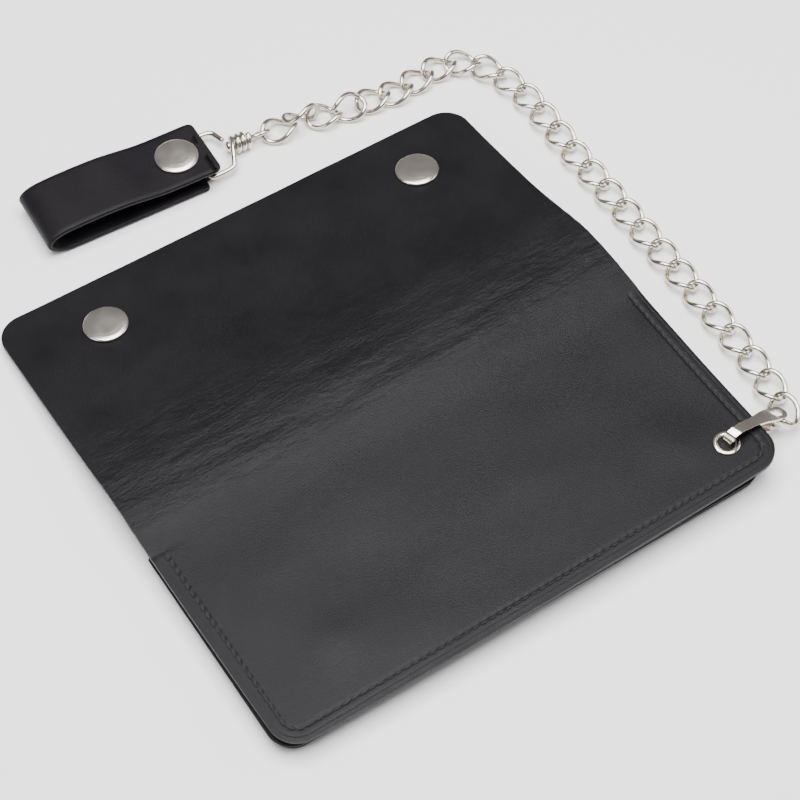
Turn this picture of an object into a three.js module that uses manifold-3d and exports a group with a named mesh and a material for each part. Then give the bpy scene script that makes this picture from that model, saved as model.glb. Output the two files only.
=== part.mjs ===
// A long leather chain wallet, lying open and face down, with its chain and belt strap.
// Millimetres, +Z up. X runs along the wallet's long side and Y from its sewn front edge
// towards the free edge of the flap. The origin is the centre of the card pocket's outer face.

import * as THREE from 'three';
import { mergeVertices } from 'three/addons/utils/BufferGeometryUtils.js';
import Module from 'manifold-3d';

const wasm = await Module();
wasm.setup();

// ---- driving dimensions -------------------------------------------------------------------
const walletLength = 178;
const halfLength = walletLength / 2;
const frontEdgeY = -40;
const foldY = 44;                    // where the back panel ends and the spine begins
const cornerRadius = 9;

const shellThickness = 1.6;
const dividerThickness = 1.0;
const sheetGap = 0.15;

const spineWidth = 9;                // each of the spine's two halves
const flapWidth = 78.6;
const flapSlope = THREE.MathUtils.degToRad(5);
const hingeHeight = 6.1;             // underside of the leather at the fold
const liftAngle = THREE.MathUtils.degToRad(1.16);   // the back panel rises to the right
const liftedBottom = 3.15;           // underside of the divider at the left edge

const snapY = -15.7;                 // studs on the pocket face
const snapFromFlapHinge = 59.7;      // sockets on the flap
const leftSnapX = -58;
const rightSnapX = 61.5;
const snap = { capRadius: 7.5, shankRadius: 1.7, holeRadius: 2.0, socketHeight: 2.8, studHeight: 2.8 };
const floorZ = -snap.studHeight;

const grommetAt = new THREE.Vector2(76.2, -26.8);
const grommet = { outerRadius: 4.3, holeRadius: 2.55, barrelRadius: 3.1, flange: 0.7 };

const wire = { link: 0.9, bail: 0.9, eye: 0.75 };
const link = { halfLength: 6.15, halfWidth: 4.6, twist: THREE.MathUtils.degToRad(45) };
const linkRestZ = floorZ + 2.62;
const linkCount = 27;

const strapRightX = 6.2;
const strapLeftX = -58.2;
const strapY = 168.2;
const strapWidth = 24;
const strapThickness = 1.7;

// ---- finishes -----------------------------------------------------------------------------
const outerLeather = new THREE.MeshStandardMaterial({ color: 0x1b1b1e, roughness: 0.5, metalness: 0 });
const innerLeather = new THREE.MeshStandardMaterial({ color: 0x232325, roughness: 0.7, metalness: 0 });
const strapLeather = new THREE.MeshStandardMaterial({ color: 0x1a1a1f, roughness: 0.55, metalness: 0 });
const nickel = new THREE.MeshStandardMaterial({ color: 0xcfc9bd, roughness: 0.25, metalness: 1 });

// ---- geometry helpers ---------------------------------------------------------------------
const wallet = new THREE.Group();

function addMesh(name, geometry, material, parent = wallet) {
  const mesh = new THREE.Mesh(geometry, material);
  mesh.name = name;
  parent.add(mesh);
  return mesh;
}

function toSolid(geometry) {
  const bare = geometry.clone();
  bare.deleteAttribute('normal');
  bare.deleteAttribute('uv');
  const merged = mergeVertices(bare, 1e-4);
  return new wasm.Manifold(new wasm.Mesh({
    numProp: 3,
    vertProperties: new Float32Array(merged.attributes.position.array),
    triVerts: new Uint32Array(merged.index.array),
  }));
}

function fromSolid(solid) {
  const mesh = solid.getMesh();
  const geometry = new THREE.BufferGeometry();
  geometry.setAttribute('position', new THREE.BufferAttribute(new Float32Array(mesh.vertProperties), 3));
  geometry.setIndex(new THREE.BufferAttribute(new Uint32Array(mesh.triVerts), 1));
  geometry.computeVertexNormals();
  return geometry;
}

// A rectangle whose four corners each have their own radius, counter-clockwise from low X, low Y.
function sheetOutline(lowX, lowY, highX, highY, radii) {
  const [a, b, c, d] = radii;
  const shape = new THREE.Shape();
  shape.moveTo(lowX + a, lowY);
  shape.lineTo(highX - b, lowY);
  if (b > 0) shape.absarc(highX - b, lowY + b, b, -Math.PI / 2, 0, false);
  shape.lineTo(highX, highY - c);
  if (c > 0) shape.absarc(highX - c, highY - c, c, 0, Math.PI / 2, false);
  shape.lineTo(lowX + d, highY);
  if (d > 0) shape.absarc(lowX + d, highY - d, d, Math.PI / 2, Math.PI, false);
  shape.lineTo(lowX, lowY + a);
  if (a > 0) shape.absarc(lowX + a, lowY + a, a, Math.PI, Math.PI * 1.5, false);
  return shape;
}

function punch(shape, x, y, radius) {
  const hole = new THREE.Path();
  hole.absarc(x, y, radius, 0, Math.PI * 2, true);
  shape.holes.push(hole);
  return shape;
}

function slab(shape, bottom, top, curveSegments = 6) {
  const geometry = new THREE.ExtrudeGeometry(shape, { depth: top - bottom, bevelEnabled: false, curveSegments });
  return geometry.translate(0, 0, bottom);
}

// A solid of revolution about Z from [radius, z] pairs that go up the outside.
function turned(profile, segments = 20) {
  return new THREE.LatheGeometry(profile.map(([radius, z]) => new THREE.Vector2(radius, z)), segments)
    .rotateX(Math.PI / 2);
}

// The side view of a bent strip: its centre line given both edges at half the thickness.
function stripShape(centreLine, thickness) {
  const left = [];
  const right = [];
  centreLine.forEach((point, i) => {
    const before = centreLine[Math.max(i - 1, 0)];
    const after = centreLine[Math.min(i + 1, centreLine.length - 1)];
    const along = after.clone().sub(before).normalize();
    const across = new THREE.Vector2(-along.y, along.x).multiplyScalar(thickness / 2);
    left.push(point.clone().add(across));
    right.unshift(point.clone().sub(across));
  });
  return new THREE.Shape([...right, ...left]);
}

// A strip seen from the side, in X and Z, made as wide as asked along Y.
function strip(centreLine, thickness, width) {
  const geometry = new THREE.ExtrudeGeometry(stripShape(centreLine, thickness), { depth: width, bevelEnabled: false });
  return geometry.translate(0, 0, -width / 2).rotateX(Math.PI / 2);
}

function tube(points, radius, steps, halfSides = 4) {
  const circle = new THREE.Shape();
  circle.absarc(0, 0, radius, 0, Math.PI * 2, false);
  return new THREE.ExtrudeGeometry(circle, {
    steps,
    bevelEnabled: false,
    curveSegments: halfSides,
    extrudePath: new THREE.CatmullRomCurve3(points, false, 'centripetal'),
  });
}

// ---- wallet body --------------------------------------------------------------------------
// The card pocket group lies level. Each slot sheet is a step shorter than the one behind it.
const pocketLowX = -halfLength - 1;
const pocketHighX = halfLength - 5;
const cardSlotMouths = [8, 20, 32];
const cardSlotThickness = 0.6;
const cardPitch = cardSlotThickness + 0.1;

// The front layer's holes are wide enough for the studs' flanges, which clasp the layer behind it.
const studSeatRadius = 4.55;
const studSeatZ = cardPitch - 0.05;

function snapHolesOnPocket(shape, radius = snap.holeRadius) {
  punch(shape, leftSnapX, snapY, radius);
  return punch(shape, rightSnapX, snapY, radius);
}

cardSlotMouths.forEach((mouthY, i) => {
  const outline = sheetOutline(pocketLowX + 1, frontEdgeY + 1.5, pocketHighX - 1, mouthY, [7, 7, 1, 1]);
  const bottom = i * cardPitch;
  const names = ['card_slot_front', 'card_slot_middle', 'card_slot_rear'];
  const holeRadius = i === 0 ? studSeatRadius : snap.holeRadius;
  addMesh(names[i], slab(snapHolesOnPocket(outline, holeRadius), bottom, bottom + cardSlotThickness), innerLeather);
});

const pocketBackBottom = cardSlotMouths.length * cardPitch;
const pocketBackTop = pocketBackBottom + 0.8;
const pocketBack = sheetOutline(pocketLowX, frontEdgeY + 1, pocketHighX, 38, [8, 8, 1, 1]);
addMesh('card_pocket_back', slab(snapHolesOnPocket(pocketBack), pocketBackBottom, pocketBackTop), innerLeather);

// The divider and the back panel are sewn together and rise to the right, over the clip.
const lifted = new THREE.Group();
lifted.position.set(-halfLength, 0, liftedBottom);
lifted.rotation.y = -liftAngle;
wallet.add(lifted);

const liftedX = (x) => (x + halfLength) / Math.cos(liftAngle);
const dividerTop = dividerThickness;
const backBottom = dividerTop + sheetGap;
const backTop = backBottom + shellThickness;

function grommetHole(shape) {
  return punch(shape, liftedX(grommetAt.x), grommetAt.y, grommet.barrelRadius + 0.15);
}

const divider = sheetOutline(0.5, frontEdgeY + 0.5, walletLength - 0.5, 37, [8.5, 8.5, 1, 1]);
addMesh('bill_divider', slab(grommetHole(divider), 0, dividerTop), innerLeather, lifted);

const backPanel = sheetOutline(0, frontEdgeY, walletLength, foldY - 0.2, [cornerRadius, cornerRadius, 0, 0]);
addMesh('back_panel', slab(grommetHole(backPanel), backBottom, backTop), outerLeather, lifted);

// ---- spine and flap -----------------------------------------------------------------------
// The spine is two strips of the same leather, and the flap slopes from it to the table.
const spineGap = 0.35;

function foldStrip(name, lowY, highY, hinge, slope, radii, holes = []) {
  const shape = sheetOutline(-halfLength, lowY, halfLength, highY, radii);
  holes.forEach(([x, y]) => punch(shape, x, y, snap.holeRadius));
  const mesh = addMesh(name, slab(shape, 0, shellThickness), outerLeather);
  mesh.position.set(0, hinge.x, hinge.y);
  mesh.rotation.x = -slope;
}

const upperHinge = new THREE.Vector2(foldY, hingeHeight);
const middleHinge = new THREE.Vector2(foldY + spineWidth, hingeHeight);
const lowerSlope = THREE.MathUtils.degToRad(3.2);
const flapHinge = new THREE.Vector2(
  middleHinge.x + spineWidth * Math.cos(lowerSlope),
  middleHinge.y - spineWidth * Math.sin(lowerSlope),
);

const square = [0, 0, 0, 0];
const flapCorners = [0, 0, cornerRadius, cornerRadius];
const flapHoles = [[leftSnapX, snapFromFlapHinge], [rightSnapX, snapFromFlapHinge]];
foldStrip('spine_upper', spineGap, spineWidth - spineGap, upperHinge, 0, square);
foldStrip('spine_lower', spineGap, spineWidth - spineGap, middleHinge, lowerSlope, square);
foldStrip('flap', spineGap, flapWidth, flapHinge, flapSlope, flapCorners, flapHoles);

// ---- snap fasteners -----------------------------------------------------------------------
// Cap and socket clasp one layer of leather, whose two faces are at z = 0 and z = leather.
function capProfile(leather) {
  const r = snap.capRadius;
  return [
    [0, -0.4], [snap.shankRadius, -0.4], [snap.shankRadius, leather + 0.1], [r - 0.5, leather + 0.1],
    [r, leather + 0.4], [r - 0.2, leather + 0.9], [r * 0.8, leather + 1.2], [r * 0.45, leather + 1.5],
    [0, leather + 1.6],
  ];
}

function socketProfile() {
  const rim = -snap.socketHeight;
  return [
    [2.95, rim], [4.4, rim], [4.6, rim + 0.4], [4.6, rim + 1.5], [5.6, -0.5],
    [5.6, -0.05], [1.9, -0.05], [1.9, -0.5], [2.95, -0.8], [2.95, rim],
  ];
}

// Stud and post clasp the other layer. The stud points down, and its flange reaches up to the seat.
function studProfile(seat = -0.05) {
  const tip = -snap.studHeight;
  return [
    [1.05, tip], [1.9, tip], [2.45, tip + 0.45], [2.45, tip + 1.0], [2.05, tip + 1.6], [2.05, -0.5],
    [4.2, -0.5], [4.2, seat], [1.05, seat], [1.05, tip],
  ];
}

function postProfile(leather) {
  const head = leather + 0.05;
  return [[0, -0.6], [0.8, -0.6], [0.8, head], [4.4, head], [4.4, head + 0.3], [0, head + 0.3]];
}

function addSnapPiece(name, profile, position, tilt = 0, parent = wallet) {
  const mesh = addMesh(name, turned(profile), nickel, parent);
  mesh.position.copy(position);
  mesh.rotation.x = -tilt;
  return mesh;
}

const flapSnapY = flapHinge.x + snapFromFlapHinge * Math.cos(flapSlope);
const flapSnapZ = flapHinge.y - snapFromFlapHinge * Math.sin(flapSlope);
[['left', leftSnapX], ['right', rightSnapX]].forEach(([side, x]) => {
  const onFlap = new THREE.Vector3(x, flapSnapY, flapSnapZ);
  const onPocket = new THREE.Vector3(x, snapY, 0);
  addSnapPiece(`snap_cap_${side}`, capProfile(shellThickness), onFlap, flapSlope);
  addSnapPiece(`snap_socket_${side}`, socketProfile(), onFlap, flapSlope);
  addSnapPiece(`snap_stud_${side}`, studProfile(studSeatZ), onPocket);
  addSnapPiece(`snap_post_${side}`, postProfile(pocketBackTop), onPocket);
});

// ---- grommet and clip ---------------------------------------------------------------------
const grommetOnPanel = new THREE.Group();
grommetOnPanel.position.set(liftedX(grommetAt.x), grommetAt.y, 0);
lifted.add(grommetOnPanel);

const { outerRadius, holeRadius, barrelRadius, flange } = grommet;
addMesh('grommet', turned([
  [holeRadius, -0.05], [barrelRadius, -0.05], [barrelRadius, backTop + 0.05], [outerRadius - 0.3, backTop + 0.05],
  [outerRadius, backTop + 0.3], [outerRadius - 0.5, backTop + flange], [holeRadius + 0.45, backTop + flange],
  [holeRadius, backTop + 0.25], [holeRadius, -0.05],
]), nickel, grommetOnPanel);
addMesh('grommet_washer', turned([
  [holeRadius, -0.4], [outerRadius, -0.4], [outerRadius, -0.1], [holeRadius, -0.1], [holeRadius, -0.4],
]), nickel, grommetOnPanel);

const grommetTop = new THREE.Vector3(liftedX(grommetAt.x), grommetAt.y, backTop).applyMatrix4(
  new THREE.Matrix4().makeRotationY(-liftAngle),
).add(new THREE.Vector3(-halfLength, 0, liftedBottom));

// The clip is one strip of sheet metal, here in X and Z from the foot of the grommet's axis. It
// arches over the leather's edge and slopes to the chain, and its lower limb runs back beneath
// the leather and up through the grommet. The upper limb's round end has a slot in it.
const clipHeading = THREE.MathUtils.degToRad(4);
const clip = {
  thickness: 0.9, neckWidth: 3.3, endWidth: 5.0, reach: 25.0, slotStart: 18.6, slotEnd: 23.2, slotWidth: 2.6,
};
const clipFootZ = -0.2;

function clipCentreLine() {
  return [
    [22.4, 1.2], [18.5, 3.0], [14.2, 5.1], [11, 5.75], [7, 5.8], [3.6, 5.55], [1.6, 5.85], [0.45, 6.75],
    [0, 8.0], [0, 10.6], [0.4, 11.8], [1.5, 12.8], [3.2, 13.3], [5.4, 13.1], [8.4, 12.2],
    [14.8, 10.35], [20.2, 7.4], [26, 4.4],
  ].map(([x, z]) => new THREE.Vector2(x, z));
}

function clipEndPlan() {
  const neck = clip.neckWidth / 2;
  const end = clip.endWidth / 2;
  const shape = new THREE.Shape();
  shape.moveTo(10, -neck);
  shape.lineTo(17.5, -end);
  shape.lineTo(clip.reach - end, -end);
  shape.absarc(clip.reach - end, 0, end, -Math.PI / 2, Math.PI / 2, false);
  shape.lineTo(17.5, end);
  shape.lineTo(10, neck);
  return shape;
}

function clipSlot() {
  const half = clip.slotWidth / 2;
  const shape = new THREE.Shape();
  shape.absarc(clip.slotStart + half, 0, half, Math.PI / 2, Math.PI * 1.5, false);
  shape.absarc(clip.slotEnd - half, 0, half, -Math.PI / 2, Math.PI / 2, false);
  return shape;
}

const clipSide = toSolid(strip(clipCentreLine(), clip.thickness, 12));
const clipNeck = toSolid(strip([new THREE.Vector2(-3, 6), new THREE.Vector2(22.4, 6)], 30, clip.neckWidth));
const clipEnd = toSolid(slab(clipEndPlan(), 3.9, 20, 5));
const clipSlotAbove = toSolid(slab(clipSlot(), 3.9, 20, 5));
const clipSolid = clipSide.intersect(clipNeck.add(clipEnd)).subtract(clipSlotAbove);
const clipMesh = addMesh('clip', fromSolid(clipSolid), nickel);
clipMesh.position.set(grommetAt.x, grommetAt.y, clipFootZ);
clipMesh.rotation.z = clipHeading;

// ---- chain --------------------------------------------------------------------------------
// One twisted link: an oval wire ring whose plane turns a quarter turn from end to end.
function linkGeometry() {
  const ring = new THREE.TorusGeometry(1, 0.2, 6, 20);
  const position = ring.attributes.position;
  const uv = ring.attributes.uv;
  const centreAt = (s) => {
    const across = link.halfWidth * Math.sin(s);
    const turn = -link.twist * Math.cos(s);
    return new THREE.Vector3(link.halfLength * Math.cos(s), across * Math.cos(turn), across * Math.sin(turn));
  };
  for (let i = 0; i < position.count; i += 1) {
    const s = uv.getX(i) * Math.PI * 2;
    const t = uv.getY(i) * Math.PI * 2;
    const centre = centreAt(s);
    const tangent = centreAt(s + 1e-3).sub(centreAt(s - 1e-3)).normalize();
    const turn = -link.twist * Math.cos(s);
    const upright = new THREE.Vector3(0, -Math.sin(turn), Math.cos(turn));
    upright.addScaledVector(tangent, -upright.dot(tangent)).normalize();
    const outward = tangent.clone().cross(upright);
    centre.addScaledVector(outward, wire.link * Math.cos(t)).addScaledVector(upright, wire.link * Math.sin(t));
    position.setXYZ(i, centre.x, centre.y, centre.z);
  }
  ring.computeVertexNormals();
  return ring;
}

// The middles of the links where the chain's run changes, as [link number, x, y, z, roll in
// degrees, lift]. Two slack links are rolled up on edge, so their middles are lifted. The chain drops from the clip to the table, runs along the wallet's right side, turns the corner and
// lies slack along the flap's edge as far as the strap's swivel.
const chainMarks = [
  [1, 102.7, -22.9, 1.9, -8],
  [2, 105.8, -13.2, 0.4, -4],
  [3, 107.4, -3.2, linkRestZ + 0.05, 0],
  [5, 109.0, 17.1, linkRestZ, 0],
  [8, 110.2, 47.7, linkRestZ, 0],
  [13, 111.6, 98.6, linkRestZ, 0],
  [15, 112.9, 118.9, linkRestZ, 0],
  [16, 113.2, 129.1, linkRestZ, 0],
  [17, 112.2, 139.2, linkRestZ, 0],
  [18, 109.4, 148.7, linkRestZ, 0],
  [19, 103.6, 156.2, linkRestZ, 0],
  [20, 95.4, 158.9, linkRestZ, 0],
  [21, 85.8, 158.4, linkRestZ, 0],
  [22, 76.4, 157.6, linkRestZ, 0],
  [23, 67.8, 159.1, linkRestZ, 0],
  [24, 57.3, 158.9, linkRestZ, -59, 2.41],
  [25, 49.4, 161.8, linkRestZ, 0],
  [26, 42.0, 164.3, linkRestZ, 55, 2.3],
  [27, 33.2, 164.9, linkRestZ + 0.1, 0],
];

function chainPoint(number) {
  const next = chainMarks.findIndex(([mark]) => mark >= number);
  const [highMark, ...high] = chainMarks[next];
  if (highMark === number) return high;
  const [lowMark, ...low] = chainMarks[next - 1];
  const share = (number - lowMark) / (highMark - lowMark);
  return low.map((value, i) => value + (high[i] - value) * share);
}

const beyondChain = [26.5, 166.2, linkRestZ + 0.3];
const linkTemplate = linkGeometry();
const linkPoints = [];
for (let number = 1; number <= linkCount; number += 1) linkPoints.push(chainPoint(number));
linkPoints.forEach(([x, y, z, roll, lift = 0], i) => {
  const before = linkPoints[i - 1] ?? linkPoints[i];
  const after = linkPoints[i + 1] ?? beyondChain;
  const heading = new THREE.Vector3(after[0] - before[0], after[1] - before[1], after[2] - before[2]).normalize();
  const side = new THREE.Vector3(0, 0, 1).cross(heading).normalize();
  const up = heading.clone().cross(side);
  const mesh = addMesh(`link_${String(i + 1).padStart(2, '0')}`, linkTemplate, nickel);
  mesh.quaternion.setFromRotationMatrix(new THREE.Matrix4().makeBasis(heading, side, up));
  mesh.rotateX(THREE.MathUtils.degToRad(roll));
  mesh.position.set(x, y, z + lift);
});

// ---- swivel and bail ----------------------------------------------------------------------
// The strap end of the chain, in its own frame: X points from the strap to the chain and the
// bail's bar lies along Y at the origin.
const strapEnd = new THREE.Group();
strapEnd.position.set(2.6, 167.4, 0);
strapEnd.rotation.z = THREE.MathUtils.degToRad(-3.2);
wallet.add(strapEnd);

const coil = { startX: 13.2, radius: 2.55, pitch: 1.95, turns: 3, axisZ: 0.7 };
const barZ = 0.5;

function bailPath() {
  const points = [
    [11.2, 3.6, 0.7], [10.4, 6.2, 0.6], [9.6, 8.2, 0.6], [8.0, 9.1, 0.6], [4.6, 9.4, barZ], [1.3, 9.4, barZ],
    [0.1, 8.4, barZ], [0, 6, barZ], [0, -6, barZ], [0.1, -8.4, barZ], [1.3, -9.4, barZ], [4.6, -9.4, barZ],
    [8.0, -9.1, 0.6], [9.6, -8.2, 0.9], [10.9, -5.6, 1.8], [12.1, -2.7, 2.8],
  ].map(([x, y, height]) => new THREE.Vector3(x, y, height));
  const stepsPerTurn = 10;
  for (let i = 0; i <= coil.turns * stepsPerTurn; i += 1) {
    const angle = Math.PI / 2 - (Math.PI * 2 * i) / stepsPerTurn;
    points.push(new THREE.Vector3(
      coil.startX + (coil.pitch * i) / stepsPerTurn,
      coil.radius * Math.cos(angle),
      coil.axisZ + coil.radius * Math.sin(angle),
    ));
  }
  return points;
}

addMesh('wire_bail', tube(bailPath(), wire.bail, 90), nickel, strapEnd);

// The eye's own plane leans over, square to the end of the link that runs through it.
function eyePath() {
  const lean = THREE.MathUtils.degToRad(-45);
  return [
    [11.6, 0], [13, 0], [19.2, 0], [20.8, 0.4], [22.4, 1.8], [24.4, 2.6], [26.2, 1.8],
    [26.9, 0], [26.2, -1.8], [24.4, -2.6], [22.6, -2.0], [21.2, -1.5],
  ].map(([x, across]) => new THREE.Vector3(x, across * Math.cos(lean), coil.axisZ + across * Math.sin(lean)));
}

// The eye's stem runs through the coil and has a riveted head on the strap side.
const eyeWire = toSolid(tube(eyePath(), wire.eye, 40));
const eyeHead = toSolid(turned([[0, -0.7], [1.9, -0.7], [1.9, 0.1], [1.2, 0.7], [0, 0.7]], 12)
  .rotateY(-Math.PI / 2).translate(11.4, 0, coil.axisZ));
addMesh('swivel_eye', fromSolid(eyeWire.add(eyeHead)), nickel, strapEnd);

// ---- belt strap ---------------------------------------------------------------------------
// One long strap doubled over to the left. A narrower tongue at its end wraps the bail's bar and
// is held by the stud. The top layer carries the cap and socket and opens about the left fold.
const halfStrap = strapThickness / 2;
const strapLift = 0.4;
const lowerZ = floorZ + strapLift + halfStrap;
const returnZ = lowerZ + strapThickness + 0.1;
const tongueWidth = 16;
const strapSnapX = -7.7;
const strapLowEndX = -51;
const strapHighEndX = 3.6;

const toLine = (points) => points.map(([x, z]) => new THREE.Vector2(x, z));

const wrapRadius = wire.bail + 0.2 + halfStrap;
const tongueLine = [[-16, returnZ], [-3.4, returnZ], [-2.6, returnZ + 0.3]];
for (let i = 0; i <= 10; i += 1) {
  const angle = THREE.MathUtils.degToRad(155 - 24.5 * i);
  tongueLine.push([wrapRadius * Math.cos(angle), barZ + wrapRadius * Math.sin(angle)]);
}
tongueLine.push([-2, lowerZ], [-13, lowerZ]);
const tongue = toSolid(strip(toLine(tongueLine), strapThickness, tongueWidth));
const lowerOutline = sheetOutline(strapLowEndX, -strapWidth / 2, -1, strapWidth / 2, [0, 1, 1, 0]);
const lowerSlab = toSolid(slab(lowerOutline, floorZ + strapLift, floorZ + strapLift + strapThickness));

function drill(radius) {
  const cylinder = new THREE.CylinderGeometry(radius, radius, 30, 20).rotateX(Math.PI / 2);
  return toSolid(cylinder.translate(strapSnapX, 0, 0));
}

addMesh('strap_lower', fromSolid(tongue.add(lowerSlab).subtract(drill(1.2))), strapLeather, strapEnd);

const foldLine = [
  [strapLowEndX - 0.15, lowerZ], [-54, lowerZ + 0.2], [-57.2, lowerZ + 1.3], [-59.4, lowerZ + 3.2],
  [-59.9, lowerZ + 5.2], [-58.6, lowerZ + 7.0], [-55.8, lowerZ + 8.2], [-52.8, lowerZ + 8.7],
];
addMesh('strap_fold', strip(toLine(foldLine), strapThickness, strapWidth), strapLeather, strapEnd);

const studAt = new THREE.Vector3(strapSnapX, 0, returnZ + halfStrap);
const strapSocketAt = new THREE.Vector3(strapSnapX, 0, studAt.z + 0.7 + snap.socketHeight);
const upperZ = strapSocketAt.z + halfStrap;
const upperLine = [
  [-52.3, lowerZ + 8.75], [-44, lowerZ + 9.1], [-32, lowerZ + 8.9], [-20, upperZ + 0.4],
  [-14, upperZ], [strapHighEndX, upperZ],
];
const upperStrap = toSolid(strip(toLine(upperLine), strapThickness, strapWidth));
addMesh('strap_upper', fromSolid(upperStrap.subtract(drill(snap.holeRadius))), strapLeather, strapEnd);

// The stud and its post point up here, so their profiles are turned over.
function flipped(profile) {
  return profile.map(([radius, z]) => [radius, -z]).reverse();
}

addSnapPiece('strap_cap', capProfile(strapThickness), strapSocketAt, 0, strapEnd);
addSnapPiece('strap_socket', socketProfile(), strapSocketAt, 0, strapEnd);
addSnapPiece('strap_stud', flipped(studProfile()), studAt, 0, strapEnd);
addSnapPiece('strap_post', flipped(postProfile(strapThickness * 2 + 0.1)), studAt, 0, strapEnd);

export default wallet;
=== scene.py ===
# A black leather chain wallet lying open and face down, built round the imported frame.
# Lengths in this script are millimetres until mesh_object() or a light turns them into metres.

import math
import bpy
import bmesh
import numpy as np
from mathutils import Matrix, Vector, noise


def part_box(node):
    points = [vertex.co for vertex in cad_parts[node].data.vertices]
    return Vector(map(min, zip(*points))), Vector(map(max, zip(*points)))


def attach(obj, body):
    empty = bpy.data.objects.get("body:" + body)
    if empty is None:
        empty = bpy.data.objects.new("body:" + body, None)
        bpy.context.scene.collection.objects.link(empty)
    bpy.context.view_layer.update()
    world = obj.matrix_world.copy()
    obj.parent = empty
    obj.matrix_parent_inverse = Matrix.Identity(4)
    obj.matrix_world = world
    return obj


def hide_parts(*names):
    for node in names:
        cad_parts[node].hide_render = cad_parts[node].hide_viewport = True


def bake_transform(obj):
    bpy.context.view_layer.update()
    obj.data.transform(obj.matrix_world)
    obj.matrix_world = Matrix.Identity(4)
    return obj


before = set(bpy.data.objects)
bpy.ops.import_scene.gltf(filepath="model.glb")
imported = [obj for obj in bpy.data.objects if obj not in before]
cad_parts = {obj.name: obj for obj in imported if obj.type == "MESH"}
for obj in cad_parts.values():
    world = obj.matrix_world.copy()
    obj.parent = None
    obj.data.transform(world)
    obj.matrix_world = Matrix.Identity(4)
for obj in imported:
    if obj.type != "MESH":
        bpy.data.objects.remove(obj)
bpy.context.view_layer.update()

MM = 0.001
FLOOR = -2.8                  # the table's height

# ---- camera ------------------------------------------------------------------------------
CAMERA_AT = (-208.9, -280.8, 555.2)
CAMERA_AIM = (6.6, 48.3, -2.8)
LENS = 97.46


def add_camera():
    data = bpy.data.cameras.new("camera")
    data.lens = LENS
    data.sensor_width = 36
    data.clip_end = 20
    camera = bpy.data.objects.new("camera", data)
    bpy.context.scene.collection.objects.link(camera)
    place = Vector(CAMERA_AT) * MM
    aim = Vector(CAMERA_AIM) * MM
    camera.location = place
    camera.rotation_euler = (aim - place).to_track_quat("-Z", "Y").to_euler()
    bpy.context.scene.camera = camera


add_camera()


# ---- materials ---------------------------------------------------------------------------
def new_material(name):
    material = bpy.data.materials.new(name)
    material.use_nodes = True
    nodes = material.node_tree.nodes
    nodes.clear()
    output = nodes.new("ShaderNodeOutputMaterial")
    shader = nodes.new("ShaderNodeBsdfPrincipled")
    material.node_tree.links.new(shader.outputs[0], output.inputs[0])
    return material, nodes, material.node_tree.links, shader


def node(nodes, kind, values=None, **settings):
    made = nodes.new(kind)
    for key, value in settings.items():
        setattr(made, key, value)
    for key, value in (values or {}).items():
        made.inputs[key].default_value = value
    return made


def scaled_coordinates(nodes, links, scale):
    place = node(nodes, "ShaderNodeTexCoord")
    mapping = node(nodes, "ShaderNodeMapping")
    mapping.inputs["Scale"].default_value = scale
    links.new(place.outputs["Object"], mapping.inputs["Vector"])
    return mapping.outputs["Vector"]


def ramp(nodes, stops):
    made = node(nodes, "ShaderNodeValToRGB")
    elements = made.color_ramp.elements
    while len(elements) < len(stops):
        elements.new(0.5)
    for element, (position, value) in zip(elements, stops):
        element.position = position
        element.color = (value, value, value, 1) if isinstance(value, (int, float)) else (*value, 1)
    return made


def leather_material(name, dark, light, rough, grain, folds=False):
    """Grain-side leather: pebbled grain, faint mottling, and fine crease bumps where it folds."""
    material, nodes, links, shader = new_material(name)
    plain = scaled_coordinates(nodes, links, (1, 1, 1))
    cells = node(nodes, "ShaderNodeTexVoronoi", {"Scale": 1500.0, "Randomness": 1.0})
    cells.feature = "DISTANCE_TO_EDGE"
    links.new(plain, cells.inputs["Vector"])
    cell_edge = ramp(nodes, [(0.0, 0.0), (0.22, 1.0)])
    links.new(cells.outputs["Distance"], cell_edge.inputs[0])
    pores = node(nodes, "ShaderNodeTexNoise", {"Scale": 2600.0, "Detail": 3.0, "Roughness": 0.6})
    links.new(plain, pores.inputs["Vector"])
    mottle = node(nodes, "ShaderNodeTexNoise", {"Scale": 46.0, "Detail": 4.0, "Roughness": 0.55})
    links.new(plain, mottle.inputs["Vector"])

    colour = ramp(nodes, [(0.3, dark), (0.72, light)])
    links.new(mottle.outputs["Fac"], colour.inputs[0])
    links.new(colour.outputs["Color"], shader.inputs["Base Color"])

    roughness = node(nodes, "ShaderNodeMapRange", {1: 0.25, 2: 0.75, 3: rough - 0.05, 4: rough + 0.06})
    links.new(mottle.outputs["Fac"], roughness.inputs[0])
    links.new(roughness.outputs[0], shader.inputs["Roughness"])
    shader.inputs["Specular IOR Level"].default_value = 0.15

    first = node(nodes, "ShaderNodeBump", {"Strength": 0.35 * grain, "Distance": 0.00009})
    links.new(cell_edge.outputs["Color"], first.inputs["Height"])
    second = node(nodes, "ShaderNodeBump", {"Strength": 0.5 * grain, "Distance": 0.00006})
    links.new(pores.outputs["Fac"], second.inputs["Height"])
    links.new(first.outputs[0], second.inputs["Normal"])
    last = second
    if folds:
        streaked = scaled_coordinates(nodes, links, (0.32, 1.0, 1.0))
        creases = node(nodes, "ShaderNodeTexNoise", {"Scale": 900.0, "Detail": 5.0, "Roughness": 0.62})
        links.new(streaked, creases.inputs["Vector"])
        mask = node(nodes, "ShaderNodeAttribute", attribute_name="fold")
        height = node(nodes, "ShaderNodeMath", operation="MULTIPLY")
        links.new(creases.outputs["Fac"], height.inputs[0])
        links.new(mask.outputs["Fac"], height.inputs[1])
        third = node(nodes, "ShaderNodeBump", {"Strength": 0.85, "Distance": 0.0006})
        links.new(height.outputs[0], third.inputs["Height"])
        links.new(second.outputs[0], third.inputs["Normal"])
        last = third
    links.new(last.outputs[0], shader.inputs["Normal"])
    return material


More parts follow.
